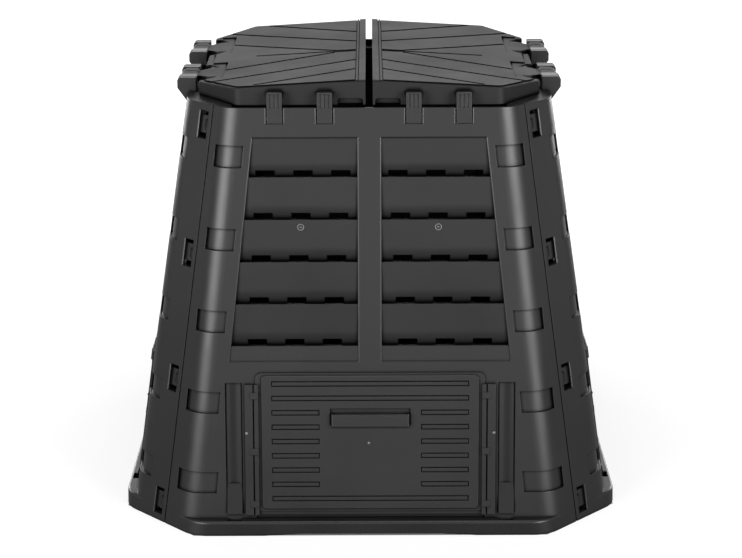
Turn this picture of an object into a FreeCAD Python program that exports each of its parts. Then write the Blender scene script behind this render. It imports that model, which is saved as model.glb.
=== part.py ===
import FreeCAD, Part
import math
import os

os.makedirs("parts", exist_ok=True)
Vec = FreeCAD.Vector

# A four-walled compost bin of moulded polypropylene, open to the soil below, with two hinged lid flaps.
# Millimetres. The origin is the middle of the footprint on the ground, +Z is up, the front faces -Y.

# Body: an eight-sided tower, square with wide 45 degree corners, leaning inwards on every side
foot_width = 902.0
rim_width = 670.0
rim_height = 776.5
flat_at_foot = 686.0
flat_at_rim = 507.0
corner_radius = 60.0
wall = 5.0
fit_gap = 0.3

# Plinth, stepped out from the walls and relieved along the middle of its lower edge
plinth_step = 15.5
plinth_height = 28.0
plinth_edge_radius = 5.0
foot_relief_height = 4.5
foot_relief_half_top = 128.0
foot_relief_ramp = 68.0

# Ledge inside the rim, with pads that carry the lid
ledge_width = 35.0
ledge_thickness = 4.0
ledge_drop = 12.5
pad_width = 16.0
pad_depth = 14.0

# Seams between the mouldings, where hooks on the side walls snap into windows in the front and rear walls
seam_setback_at_foot = 42.5
seam_setback_at_rim = 26.0
seam_gap = 0.5
seam_groove_width = 2.2
seam_groove_depth = 2.0
seam_strip_root = 9.0
seam_strip_width = 38.0
seam_strip_thickness = 3.0
clip_count = 4
clip_lowest = 37.0
clip_below_rim = 38.0
clip_window_start = 13.0
clip_window_width = 22.0
clip_window_bevel = 2.2
clip_window_bevel_drop = 1.0
clip_window_height = 50.0
clip_slot_height = 9.0
clip_hook_height = 16.0
clip_hook_width = 9.0
clip_hook_sunk = 1.2
clip_hook_fall = 3.0

# Sunk panels around each rounded corner: how far each reaches onto the flat and onto the corner face
corner_panel_lowest = 93.5
corner_panel_below_rim = 87.0
corner_panel_height = 39.5
corner_panel_depth = 5.0
corner_panel_skin = 3.5
corner_panels_on_flat = (50.0, 39.0, 35.5, 36.5, 35.5)
corner_panels_on_corner = (36.0, 33.0, 27.5, 23.5, 23.0)

# Hatch
hatch_width = 400.0
hatch_height = 249.0
hatch_bottom = 45.0
hatch_corner_radius = 7.0
hatch_face = 7.0
hatch_back = 1.0
hatch_skin = 3.0
hatch_bevel = 1.6
hatch_flange_width = 10.5
hatch_flange_rise = 4.5
hatch_flange_radius = 12.0
hatch_flange_thickness = 2.2
bar_rows = 9
bar_pitch = 26.7
bar_below_top = 15.0
bar_height = 10.0
bar_length = 88.0
bar_side_margin = 19.0
bar_groove = 1.8
bar_groove_depth = 2.2
handle_width = 143.0
handle_height = 25.0
handle_below_top = 69.0
handle_reach = 13.0
handle_skin = 3.0
handle_pocket_depth = 4.0
handle_scoop_side = 2.5
handle_scoop_rise = 8.0

# Hatch opening and guides, and the peg sleeves beside them
opening_margin = 17.0
guide_gap = 5.0
guide_lip_width = 7.6
guide_slot = 2.8
guide_rail_width = 14.6
guide_proud = 6.5
guide_below_hatch = 11.0
guide_below_top = 16.5
guide_clearance = 0.5
lug_heights = (9.5, 108.0, 211.5)
lug_height = 12.0
lug_onto_rail = 5.0
lug_proud = 1.0
sleeve_gap = 5.0
sleeve_width = 31.0
sleeve_bottom = 36.0
sleeve_above_guide = 2.0
sleeve_groove = 1.6
sleeve_pocket_depth = 9.0
sleeve_setback = 3.0
sleeve_trough = 3.0
sleeve_skin = 3.0
sleeve_flare_start = 92.0
sleeve_flare = 7.0
sleeve_back_skin = 3.0
peg_hole_width = 27.0
peg_hole_depth = 14.0
sill_groove_height = 6.0
sill_groove_depth = 4.0

# Louvred windows
louvre_above_hatch = 25.5
louvre_below_rim = 53.5
louvre_inner_edge = 21.5
louvre_side_margin = 49.6
louvre_bevel = 2.0
louvre_bevel_drop = 1.0
louvre_rows = 5
louvre_first_shelf = 27.5
louvre_top_slat = 70.0
louvre_skin = 3.0
louvre_setback = 2.2
louvre_sweep_depth = 5.5
louvre_depth = 14.0
louvre_sweep_radius = 57.0
vent_width = 35.0
vent_height = 12.0
vent_pitch = 68.4
vents_per_row = 3

# Lid flaps
lid_rise = 47.0
lid_fall = 0.057
lid_dish = 5.5
lid_half_gap = 6.5
lid_side_inset = 21.0
lid_front_inset = 22.5
lid_front_corner_inset = 13.5
lid_side_corner_inset = 37.5
lid_front_corner_radius = 20.0
lid_side_corner_radius = 12.0
lid_edge_radius = 2.0
lid_skirt = 3.5
lid_plate = 3.5
lid_clearance = 0.5
panel_raise = 2.5
flange_width = 8.5
side_flange = 14.0
ridge_border = 12.0
ridge_channel = 7.0
ridge_groove = 1.8
notch_depth = 43.0
notch_margin = 16.0
foot_groove_wide = 5.0
foot_groove_narrow = 1.5
foot_groove_length = 55.0
foot_groove_depth = 1.8
fan_groove_width = 9.0
finger_inner = 11.0
finger_width = 46.0
finger_height = 12.0
finger_radius = 6.0
finger_depth = 12.0
rib_thickness = 2.5
rib_depth = 12.0

# Paths of the fanned grooves, as shares of the flap's reach to the side and to the front
fan_paths = (
    ((0.0, 0.022), (0.2, 0.024), (0.87, 0.406)),
    ((0.0, 0.288), (0.924, 0.771)),
    ((0.0, 0.592), (0.653, 0.95)),
)
fan_middle_reach = 0.69

# Shelf that closes the corners between the rim and the lid
shelf_front_start = 8.0
shelf_tuck = 9.0
shelf_side_gap = 3.0

# Hinges on the tops of the side walls
hinge_spread = 125.5
hinge_length = 128.0
pin_overhang = 8.6
pin_rise = 13.0
pin_radius = 5.0
pin_clearance = 0.05
pin_end_wall = 4.0
pin_end_clearance = 0.3
knuckle_radius = 12.5
knuckle_front = 28.0
knuckle_rear = 33.0
knuckle_clearance = 0.5
knuckle_rear_gap = 3.5
knuckle_slot_place = 4.0
knuckle_floor = 2.0
clip_mouth = 7.0
block_radius = 13.0
block_round = 7.0
block_inset = 13.0
block_root_drop = 19.5
block_taper_rise = 6.5
cheek_slot_places = (-55.0, 53.0)
hinge_slot_width = 3.5
hinge_slot_depth = 5.0
arm_root = 30.0
arm_root_half = 46.0
arm_shoulder = 11.0
arm_shoulder_half = 43.0
arm_waist_half = 31.0
arm_neck_half = 26.5
arm_neck_gap = 3.0
arm_notch_half = 76.0
arm_thickness = 8.0

# Spring latches in the tops of the front and rear walls
latch_inner_place = 80.0
latch_outer_place = 170.0
latch_width = 27.0
latch_slit = 1.8
latch_slit_bevel = 2.0
latch_slit_bevel_drop = 1.0
latch_thickness = 4.5
latch_root_drop = 28.5
latch_rise = 26.5
latch_head_rise = 9.5
latch_root_gap = 0.6
latch_lid_gap = 0.5
latch_flute_width = 3.0
latch_flute_depth = 1.2
latch_flute_spacing = 7.5

# Values worked out from the driving dimensions
foot_reach = foot_width / 2
rim_reach = rim_width / 2
plinth_reach = foot_reach + plinth_step
root_two = math.sqrt(2)
lean = (foot_reach - rim_reach) / rim_height
lean_angle = math.atan(lean)
corner_lean = (flat_at_foot / 2 + foot_reach - flat_at_rim / 2 - rim_reach) / root_two / rim_height
lean_stretch = math.sqrt(1 + lean ** 2)
corner_stretch = math.sqrt(1 + corner_lean ** 2)
overshoot = 12.0
ledge_top = rim_height - ledge_drop
ledge_underside = ledge_top - ledge_thickness
skirt_bottom = rim_height + lid_clearance
lid_height = rim_height + lid_rise
lid_side = rim_reach - lid_side_inset
lid_front = rim_reach - lid_front_inset
lid_front_corner = flat_at_rim / 2 - lid_front_corner_inset
lid_side_corner = flat_at_rim / 2 - lid_side_corner_inset
notch_reach = lid_side - notch_depth
notch_half_length = hinge_length / 2 + notch_margin
pin_reach = rim_reach + pin_overhang
pin_height = rim_height + pin_rise
block_inner = rim_reach - block_inset
block_root = rim_height - block_root_drop
block_taper_top = rim_height + block_taper_rise
arm_root_reach = lid_side - arm_root
arm_neck_reach = block_inner - arm_neck_gap
hatch_half = hatch_width / 2
hatch_top = hatch_bottom + hatch_height
flange_half = hatch_half + hatch_flange_width
bar_outer = hatch_half - bar_side_margin
handle_top = hatch_top - handle_below_top
handle_bottom = handle_top - handle_height
guide_inner = hatch_half + guide_gap
guide_lip_outer = guide_inner + guide_lip_width
guide_slot_outer = guide_lip_outer + guide_slot
guide_outer = guide_slot_outer + guide_rail_width
guide_bottom = hatch_bottom - guide_below_hatch
guide_top = hatch_top - guide_below_top
sleeve_inner = guide_outer + sleeve_gap
sleeve_outer = sleeve_inner + sleeve_width
sleeve_top = guide_top + sleeve_above_guide
louvre_bottom = hatch_top + louvre_above_hatch
louvre_top = rim_height - louvre_below_rim
latch_root = rim_height - latch_root_drop
latch_top = rim_height + latch_rise
latch_head_bottom = rim_height + latch_head_rise
latch_places = (-latch_outer_place, -latch_inner_place, latch_inner_place, latch_outer_place)


def spread_evenly(lowest, highest, count):
    return [lowest + (highest - lowest) * i / (count - 1) for i in range(count)]


def reach_at(z):
    return foot_reach - lean * z


def flat_at(z):
    return (flat_at_foot + (flat_at_rim - flat_at_foot) * z / rim_height) / 2


def save(name, shape):
    """Write one named piece, checked to be closed and whole."""
    if not shape.isValid() or not shape.isClosed():
        raise ValueError(name + " is not a sound closed shape")
    shape.exportStep("parts/" + name + ".step")
    print(name, len(shape.Solids), "solid(s)", round(shape.Volume / 1000.0, 1), "cm3")


def polygon_face(points):
    return Part.Face(Part.makePolygon(points + points[:1]))


def counter_clockwise(outline):
    area = 0.0
    for i, (x, y) in enumerate(outline):
        x_next, y_next = outline[(i + 1) % len(outline)]
        area += x * y_next - x_next * y
    return outline if area > 0 else outline[::-1]


def frustum(low, high, z_low, z_high):
    """Closed solid between two like polygons, one above the other."""
    bottom = [Vec(x, y, z_low) for x, y in counter_clockwise(low)]
    top = [Vec(x, y, z_high) for x, y in counter_clockwise(high)]
    faces = [polygon_face(bottom[::-1]), polygon_face(top)]
    for i in range(len(bottom)):
        j = (i + 1) % len(bottom)
        faces.append(polygon_face([bottom[i], bottom[j], top[j], top[i]]))
    shell = Part.Shell(faces)
    shell.sewShape()
    return Part.Solid(shell)


def octagon(flat, reach):
    quarter = [(flat, -reach), (reach, -flat), (reach, flat), (flat, reach)]
    return quarter + [(-x, -y) for x, y in quarter]


def octagon_at(inset, z):
    """Plan of the body at height z, moved in by a distance square to its faces."""
    reach = reach_at(z) - inset * lean_stretch
    apothem = (flat_at(z) + reach_at(z)) / root_two - inset * corner_stretch
    return octagon(apothem * root_two - reach, reach)


def round_uprights(solid, radius):
    uprights = [e for e in solid.Edges if abs(e.Vertexes[0].Z - e.Vertexes[-1].Z) > 1.0]
    return solid.makeFillet(radius, uprights)


def body_form(inset, z_low, z_high):
    """The rounded tower with its faces moved in by the inset, between two heights."""
    solid = frustum(octagon_at(inset, z_low), octagon_at(inset, z_high), z_low, z_high)
    return round_uprights(solid, corner_radius - inset)


def plinth_form(inset, z_low, z_high):
    """The plinth block: upright faces, with the same leaning corners as the tower."""
    reach = plinth_reach - inset
    outlines = []
    for z in (z_low, z_high):
        corner_sum = flat_at(z) + reach_at(z) - inset * root_two
        outlines.append(octagon(corner_sum - reach, reach))
    return round_uprights(frustum(outlines[0], outlines[1], z_low, z_high), corner_radius - inset)


def seam_point(z, is_front):
    """Where the seam runs across the corner, in the plan of the wall that faces -Y."""
    flat, reach = flat_at(z), reach_at(z)
    setback = seam_setback_at_foot + (seam_setback_at_rim - seam_setback_at_foot) * z / rim_height
    if is_front:
        return flat + setback, reach - setback
    return reach - setback - seam_gap / root_two, flat + setback + seam_gap / root_two


def sector(is_front, inward):
    """The wedge of space that one wall moulding fills, out to its seams, widened inwards if asked."""
    outlines = []
    z_range = (-overshoot, rim_height + overshoot)
    for z in z_range:
        x, y = seam_point(z, is_front)
        y_out = plinth_reach + overshoot
        x_out = x + y_out - y
        x_in, y_in = x - inward, y - inward
        outlines.append([(-x_out, -y_out), (x_out, -y_out), (x_in, -y_in), (-x_in, -y_in)])
    return frustum(outlines[0], outlines[1], z_range[0], z_range[1])


def along_wall(z):
    """Distance up the leaning face of a wall for a height above the ground."""
    return z / math.cos(lean_angle)


def on_wall(shape):
    """Lay a shape drawn flat (X across, Y into the bin, Z up) on the leaning front face."""
    shape = shape.copy()
    shape.rotate(Vec(0, 0, 0), Vec(1, 0, 0), -math.degrees(lean_angle))
    shape.translate(Vec(0, -foot_reach, 0))
    return shape


def wall_plate(corners, depth_from, depth_to):
    """Flat plate on the wall: corners are (across, height), depths run into the bin."""
    points = [Vec(x, depth_from, along_wall(z)) for x, z in corners]
    return polygon_face(points).extrude(Vec(0, depth_to - depth_from, 0))


def wall_block(x_low, x_high, z_low, z_high, depth_from, depth_to):
    corners = [(x_low, z_low), (x_high, z_low), (x_high, z_high), (x_low, z_high)]
    return wall_plate(corners, depth_from, depth_to)


def both_sides(shapes):
    """The shapes and their mirror images across the middle of the wall."""
    return shapes + [s.mirror(Vec(0, 0, 0), Vec(1, 0, 0)) for s in shapes]


def box(x_low, x_high, y_low, y_high, z_low, z_high):
    return Part.makeBox(x_high - x_low, y_high - y_low, z_high - z_low, Vec(x_low, y_low, z_low))


def corner_panel_block(z, on_flat, on_corner, grow):
    """Level block across the rounded corner at one height, used to sink a panel and to back it."""
    tilt = math.radians(22.5)
    low, high = z - corner_panel_height / 2 - grow, z + corner_panel_height / 2 + grow
    start, end = -(on_flat * math.cos(tilt) + grow), on_corner * math.cos(tilt) + grow
    outlines = []
    for level in (low, high):
        outline = []
        for along, out in ((start, -40.0), (end, -40.0), (end, 40.0), (start, 40.0)):
            x = flat_at(level) + along * math.cos(tilt) + out * math.sin(tilt)
            y = -reach_at(level) + along * math.sin(tilt) - out * math.cos(tilt)
            outline.append((x, y))
        outlines.append(outline)
    return frustum(outlines[0], outlines[1], low, high)


def corner_panels(blank):
    """Sink the row of panels around the rounded corner and back each with its own skin."""
    backs, sinks = [], []
    highest = rim_height - corner_panel_below_rim
    heights = spread_evenly(corner_panel_lowest, highest, len(corner_panels_on_flat))
    for z, on_flat, on_corner in zip(heights, corner_panels_on_flat, corner_panels_on_corner):
        backs.append(corner_panel_block(z, on_flat, on_corner, corner_panel_skin))
        sinks.append(corner_panel_block(z, on_flat, on_corner, 0.0))
    z_range = (-overshoot, rim_height + overshoot)
    skin = body_form(wall / 2, z_range[0], z_range[1])
    skin = skin.cut(body_form(corner_panel_depth + corner_panel_skin, z_range[0], z_range[1]))
    backs = [skin.common(b) for b in both_sides(backs)]
    deep = body_form(corner_panel_depth, z_range[0], z_range[1])
    sinks = [s.cut(deep) for s in both_sides(sinks)]
    return blank.fuse(backs).cut(sinks)


def louvre_edge(z):
    return flat_at(z) - louvre_side_margin


def louvre_outline(grow):
    """Corners of the right-hand louvred window, wider towards the foot."""
    return [
        (louvre_inner_edge - grow, louvre_bottom - grow),
        (louvre_edge(louvre_bottom) + grow, louvre_bottom - grow),
        (louvre_edge(louvre_top) + grow, louvre_top + grow),
        (louvre_inner_edge - grow, louvre_top + grow),
    ]


def shelf_heights():
    return spread_evenly(louvre_bottom + louvre_first_shelf, louvre_top - louvre_top_slat, louvre_rows)


def slat_sheet():
    """Section of the slats: each slopes in as it hangs, then sweeps further in over the shelf below."""
    edges = []
    radius = louvre_sweep_radius
    sweep_angle = math.acos(1 - (louvre_depth - louvre_sweep_depth) / radius)

    def point(depth, height):
        return Vec(louvre_inner_edge - 1.0, depth, height)

    def swept(skin, angle, shelf):
        height = shelf + radius * math.sin(sweep_angle)
        depth = louvre_sweep_depth + radius
        return point(depth - (radius - skin) * math.cos(angle), height - (radius - skin) * math.sin(angle))

    def line(start, end):
        edges.append(Part.LineSegment(start, end).toShape())

    def arc(skin, shelf):
        middle = swept(skin, sweep_angle / 2, shelf)
        edges.append(Part.Arc(swept(skin, 0.0, shelf), middle, swept(skin, sweep_angle, shelf)).toShape())

    front_start = point(louvre_setback, along_wall(louvre_top) + 1.0)
    back_start = point(louvre_setback + louvre_skin, along_wall(louvre_top) + 1.0)
    front, back = front_start, back_start
    for height in reversed(shelf_heights()):
        shelf = along_wall(height)
        line(front, swept(0.0, 0.0, shelf))
        arc(0.0, shelf)
        front = point(louvre_setback, shelf)
        line(swept(0.0, sweep_angle, shelf), front)
        line(back, swept(louvre_skin, 0.0, shelf))
        arc(louvre_skin, shelf)
        heel = point(louvre_depth + louvre_skin, shelf - louvre_skin)
        line(swept(louvre_skin, sweep_angle, shelf), heel)
        back = point(louvre_setback + louvre_skin, shelf - louvre_skin)
        line(heel, back)
    foot = along_wall(louvre_bottom) - 1.0
    line(front, point(louvre_setback, foot))
    line(back, point(louvre_setback + louvre_skin, foot))
    line(point(louvre_setback, foot), point(louvre_setback + louvre_skin, foot))
    line(front_start, back_start)
    section = Part.Face(Part.Wire(Part.__sortEdges__(edges)))
    return section.extrude(Vec(louvre_edge(louvre_bottom) - louvre_inner_edge + 2.0, 0, 0))


def vent_holes():
    """Row of vents above each shelf of the right-hand window."""
    holes = []
    for height in shelf_heights():
        middle = (louvre_inner_edge + louvre_edge(height)) / 2
        for place in range(vents_per_row):
            x = middle + vent_pitch * (place - (vents_per_row - 1) / 2)
            holes.append(wall_block(x - vent_width / 2, x + vent_width / 2, height + 0.4,
                                    height + vent_height, -1.0, louvre_depth + 2 * louvre_skin))
    return holes


def bevelled_cut(corners_at, size, drop):
    """Wedge that bevels the edge of a cut in the wall; corners_at gives the cut's outline, grown."""
    wires = []
    for grow, depth in ((size + size / drop, -1.0), (0.0, drop)):
        points = [Vec(x, depth, along_wall(z)) for x, z in corners_at(grow)]
        wires.append(Part.makePolygon(points + points[:1]))
    return Part.makeLoft(wires, True, True)


def louvred_windows(blank):
    """Cut both windows and set the slatted tray with its vents into each."""
    window = wall_plate(louvre_outline(0.0), -1.0, wall + 1.0)
    bevel = bevelled_cut(louvre_outline, louvre_bevel, louvre_bevel_drop)
    depth = louvre_depth + louvre_skin
    frame = wall_plate(louvre_outline(louvre_skin), wall / 2, depth)
    frame = frame.cut(wall_plate(louvre_outline(0.0), 0.0, depth + 1.0))
    slats = slat_sheet().common(wall_plate(louvre_outline(0.05), 0.0, depth))
    tray = frame.fuse(slats).cut(vent_holes())
    blank = blank.cut([on_wall(s) for s in both_sides([window, bevel])])
    return blank.fuse([on_wall(s) for s in both_sides([tray])])


def hatch_guides():
    """Right-hand guide: a raised rail and, bridged to it by lugs, the lip that holds the hatch in."""
    lip_back = -(hatch_back + hatch_flange_thickness + guide_clearance)
    pieces = [wall_block(guide_slot_outer, guide_outer, guide_bottom, guide_top, -guide_proud, wall / 2)]
    pieces.append(wall_block(guide_inner, guide_lip_outer, guide_bottom, guide_top, -guide_proud, lip_back))
    for height in lug_heights:
        low = hatch_bottom + height - lug_height / 2
        pieces.append(wall_block(guide_inner, guide_slot_outer + lug_onto_rail, low, low + lug_height,
                                 -guide_proud - lug_proud, lip_back))
    # the heel of the lip stands on the wall outside the hatch's flange, and its foot carries the flange
    pieces.append(wall_block(flange_half + guide_clearance, guide_lip_outer, guide_bottom, guide_top,
                             lip_back - 0.5, wall / 2))
    flange_foot = hatch_bottom - hatch_flange_rise - fit_gap
    pieces.append(wall_block(guide_inner, guide_lip_outer, guide_bottom, flange_foot,
                             lip_back - 0.5, wall / 2))
    return pieces[0].fuse(pieces[1:])


def peg_sleeve():
    """Right-hand sleeve strip: a shallow trough in its pocket, flared out over an open mouth at the foot."""
    x_low, x_high = sleeve_inner + sleeve_groove, sleeve_outer - sleeve_groove
    x_start = Vec(x_low, 0, 0)
    top = along_wall(sleeve_top)
    bend = along_wall(sleeve_flare_start)
    foot = along_wall(sleeve_bottom)
    outline = [
        (sleeve_setback, top + 0.5), (sleeve_setback, bend), (-sleeve_flare, foot),
        (sleeve_skin - sleeve_flare, foot), (sleeve_setback + sleeve_skin, bend - 6.0),
        (sleeve_pocket_depth + 0.5, bend), (sleeve_pocket_depth + 0.5, top + 0.5),
    ]
    face = polygon_face([x_start + Vec(0, depth, height) for depth, height in outline])
    strip = face.extrude(Vec(x_high - x_low, 0, 0))
    half_chord = (x_high - x_low) / 2 - 1.0
    radius = (half_chord ** 2 + sleeve_trough ** 2) / (2 * sleeve_trough)
    trough = Part.makeCylinder(radius, top - bend + 2.0,
                               Vec((x_low + x_high) / 2, sleeve_setback + sleeve_trough - radius, bend))
    return strip.cut(trough)


def hatch_surround(blank):
    """Hatch opening with its guides, and the sleeve strips in their pockets."""
    opening_half = hatch_half - opening_margin
    opening = wall_block(-opening_half, opening_half, hatch_bottom + opening_margin,
                         hatch_top - opening_margin, -1.0, wall + 1.0)
    backing = wall_block(sleeve_inner - sleeve_back_skin, sleeve_outer + sleeve_back_skin,
                         sleeve_bottom - sleeve_back_skin, sleeve_top + sleeve_back_skin,
                         wall / 2, sleeve_pocket_depth + sleeve_back_skin)
    pocket = wall_block(sleeve_inner, sleeve_outer, sleeve_bottom, sleeve_top, -1.0, sleeve_pocket_depth)
    middle = (sleeve_inner + sleeve_outer) / 2
    peg_hole = wall_block(middle - peg_hole_width / 2, middle + peg_hole_width / 2,
                          plinth_height - 2 * wall, plinth_height + 2.0, -peg_hole_depth, -0.3)
    sill_back = wall_block(-flange_half - wall, flange_half + wall, plinth_height - wall / 2,
                           plinth_height + sill_groove_height + wall, wall / 2, sill_groove_depth + wall)
    sill_groove = wall_block(-flange_half, flange_half, plinth_height + 0.01,
                             plinth_height + sill_groove_height, -1.0, sill_groove_depth)
    blank = blank.cut(on_wall(opening)).fuse(on_wall(sill_back)).cut(on_wall(sill_groove))
    blank = blank.fuse([on_wall(s) for s in both_sides([backing])])
    blank = blank.cut([on_wall(s) for s in both_sides([pocket, peg_hole])])
    return blank.fuse([on_wall(s) for s in both_sides([peg_sleeve(), hatch_guides()])])


def seam_prism(outline, z_low, z_high, is_front):
    """Prism that leans with the seam. Its outline is (past the seam, in from the corner face): past the
    seam means onto the side wall, from either side."""
    outlines = []
    for z in (z_low, z_high):
        x, y = seam_point(z, is_front)
        turn = 1.0 if is_front else -1.0
        points = []
        for past, depth in outline:
            past_step, in_step = turn * past / root_two, depth * corner_stretch / root_two
            points.append((x + past_step - in_step, -y + past_step + in_step))
        outlines.append(points)
    return frustum(outlines[0], outlines[1], z_low, z_high)


def rectangle(past_low, past_high, depth_low, depth_high):
    return [(past_low, depth_low), (past_high, depth_low), (past_high, depth_high), (past_low, depth_high)]


def clip_heights():
    return spread_evenly(clip_lowest, rim_height - clip_below_rim, clip_count)


def clip_windows():
    """Bevelled windows near each edge of a side wall that its neighbours' hooks spring into."""
    half = clip_window_height / 2
    start, end = clip_window_start, clip_window_start + clip_window_width
    outline = rectangle(start, end, -10.0, wall + 1.5)
    size, drop = clip_window_bevel, clip_window_bevel_drop
    bevel = [(start - 2 * size, -drop), (end + 2 * size, -drop), (end, drop), (start, drop)]
    cuts = []
    for z in clip_heights():
        cuts.append(seam_prism(outline, z - half, z + half, False))
        cuts.append(seam_prism(bevel, z - half, z + half, False))
    groove = rectangle(-1.0, seam_groove_width, -1.0, seam_groove_depth)
    cuts.append(seam_prism(groove, -1.0, rim_height + 1.0, False))
    return both_sides(cuts)


def seam_strips():
    """Strip along each edge of a front or rear wall, tucked behind the side wall, with snap hooks."""
    top = ledge_underside - 1.0
    front, back = wall + fit_gap, wall + fit_gap + seam_strip_thickness
    strip = seam_prism(rectangle(-seam_strip_root, seam_strip_width, front, back), 0.0, top, True)
    joint = seam_prism(rectangle(-seam_strip_root, -0.01, wall / 2, back), 0.0, top, True)
    pieces, slots = [strip, joint], []
    low, high = clip_hook_fall + clip_hook_sunk, clip_hook_sunk
    near, base = clip_window_start + seam_gap + fit_gap, front + 0.1
    hook = [(near, base), (near, high), (near + clip_hook_width, low), (near + clip_hook_width, base)]
    for z in clip_heights():
        pieces.append(seam_prism(hook, z - clip_hook_height / 2, z + clip_hook_height / 2, True))
        window_end = clip_window_height / 2
        for start in (z - window_end, z + window_end - clip_slot_height):
            slots.append(seam_prism(rectangle(seam_strip_root, seam_strip_width + 1.0, -1.0, back + 1.0),
                                    start, start + clip_slot_height, True))
    return [pieces[0].fuse(pieces[1:]).cut(slots)]


def corner_shelves(is_front):
    """Shelves at the height of the rim that close its corners under the edge of the lid."""
    outline = [
        (lid_front_corner + shelf_front_start, rim_reach),
        (lid_front_corner + shelf_front_start, lid_front - shelf_tuck / 2),
        (lid_side - shelf_tuck, lid_side_corner),
        (lid_side - shelf_tuck, hinge_spread + hinge_length / 2 + shelf_side_gap),
        (rim_reach, hinge_spread + hinge_length / 2 + shelf_side_gap),
        (rim_reach, rim_reach),
    ]
    points = [(x, -y) if is_front else (y, -x) for x, y in outline]
    shelf = plan_prism(points, rim_height - ledge_thickness, rim_height)
    shelf = shelf.common(body_form(wall / 2, rim_height - 2 * ledge_thickness, rim_height + 1.0))
    return both_sides([shelf])


def wall_blank(is_front):
    """Bare moulding: leaning skin, sunk rim ledge and a stepped-out plinth, hollow underneath."""
    top = rim_height + overshoot
    plinth = plinth_form(0.0, 0.0, plinth_height)
    straight = [e for e in plinth.Edges if min(v.Z for v in e.Vertexes) > plinth_height - 0.01
                and e.Length > foot_reach]
    plinth = plinth.makeFillet(plinth_edge_radius, straight)
    tower = body_form(0.0, 0.0, rim_height).fuse(plinth)
    tower = tower.cut([body_form(wall, 0.0, ledge_underside), body_form(wall, ledge_top, top)])
    tower = tower.cut(plinth_form(wall, -overshoot, plinth_height - wall))
    corner = flat_at_rim / 2 - ledge_width * (root_two - 1)
    mouth = octagon(corner, rim_reach - ledge_width)
    tower = tower.cut(frustum(mouth, mouth, ledge_underside - 2 * ledge_thickness, top))
    half_foot = foot_relief_half_top + foot_relief_ramp
    relief = [(-half_foot, 0.0), (-foot_relief_half_top, foot_relief_height),
              (foot_relief_half_top, foot_relief_height), (half_foot, 0.0)]
    relief = polygon_face([Vec(x, -plinth_reach - 1.0, z - 0.01) for x, z in relief])
    tower = tower.cut(relief.extrude(Vec(0, plinth_reach / 2, 0))).fuse(corner_shelves(is_front))
    return tower.common(sector(is_front, 150.0))


def lid_pads():
    """Pads on the ledge of a front or rear wall, each behind a latch, that the lid's skirt rests on."""
    pads = []
    outer = -(lid_front + lid_skirt)
    for x in latch_places:
        pads.append(box(x - pad_width / 2, x + pad_width / 2, outer, outer + pad_depth,
                        ledge_top - ledge_thickness / 2, rim_height))
    return pads


def latch_slots():
    """Slots in a front or rear wall that leave room for the spring latches."""
    cuts = []
    half = latch_width / 2 + latch_slit
    top = rim_height + overshoot
    for x in latch_places:
        cuts.append(on_wall(wall_block(x - half, x + half, latch_root, top, -1.0,
                                       latch_thickness + latch_slit)))

        def outline(grow):
            return [(x - half - grow, latch_root), (x + half + grow, latch_root),
                    (x + half + grow, top), (x - half - grow, top)]

        cuts.append(on_wall(bevelled_cut(outline, latch_slit_bevel, latch_slit_bevel_drop)))
    return cuts


def hinge_block_profile():
    """Outline of a hinge block seen from the front, in the plane of X and Z."""
    outer = pin_reach + block_radius
    crown = pin_height + block_radius
    skin = reach_at(block_root) - wall / 2
    root_outer = reach_at(block_root) + 0.5
    bend = block_round * (1 - 1 / root_two)
    lines = [
        Part.LineSegment(Vec(skin, 0, block_root), Vec(root_outer, 0, block_root)),
        Part.LineSegment(Vec(root_outer, 0, block_root), Vec(outer, 0, block_taper_top)),
        Part.LineSegment(Vec(outer, 0, block_taper_top), Vec(outer, 0, crown - block_round)),
        Part.Arc(Vec(outer, 0, crown - block_round), Vec(outer - bend, 0, crown - bend),
                 Vec(outer - block_round, 0, crown)),
        Part.LineSegment(Vec(outer - block_round, 0, crown), Vec(block_inner, 0, crown)),
        Part.LineSegment(Vec(block_inner, 0, crown), Vec(block_inner, 0, rim_height)),
        Part.LineSegment(Vec(block_inner, 0, rim_height), Vec(skin - wall, 0, rim_height - wall)),
        Part.LineSegment(Vec(skin - wall, 0, rim_height - wall), Vec(skin, 0, block_root)),
    ]
    return Part.Face(Part.Wire([line.toShape() for line in lines]))


def hinge_block(y):
    """Hinge block on the right-hand wall: two cheeks, a bay for the lid's knuckle and blind pin holes."""
    half = hinge_length / 2
    block = hinge_block_profile().extrude(Vec(0, hinge_length, 0))
    block.translate(Vec(0, y - half, 0))
    start, end = y - knuckle_front - knuckle_clearance, y + knuckle_rear + knuckle_rear_gap
    bay_radius = knuckle_radius + knuckle_clearance
    outer, crown = pin_reach + block_radius, pin_height + block_radius
    bay = Part.makeCylinder(bay_radius, end - start, Vec(pin_reach, start, pin_height), Vec(0, 1, 0))
    inner_bay = box(block_inner - 1.0, pin_reach, start, end, pin_height - bay_radius, crown + 1.0)
    upper_bay = box(pin_reach - 1.0, outer + 1.0, start, end, pin_height - pin_radius, crown + 1.0)
    hole_half = half - pin_end_wall
    hole = Part.makeCylinder(pin_radius + pin_clearance, 2 * hole_half,
                             Vec(pin_reach, y - hole_half, pin_height), Vec(0, 1, 0))
    cuts = [bay, inner_bay, upper_bay, hole]
    for place in cheek_slot_places:
        low, high = y + place - hinge_slot_width / 2, y + place + hinge_slot_width / 2
        cuts.append(box(block_inner - 1.0, outer + 1.0, low, high, crown - hinge_slot_depth, crown + 1.0))
        cuts.append(box(outer - hinge_slot_depth / 2, outer + 1.0, low, high, block_taper_top, crown))
    return block.cut(cuts)


def hinge_pin(y):
    half = hinge_length / 2 - pin_end_wall - pin_end_clearance
    return Part.makeCylinder(pin_radius, 2 * half, Vec(pin_reach, y - half, pin_height), Vec(0, 1, 0))


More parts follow.
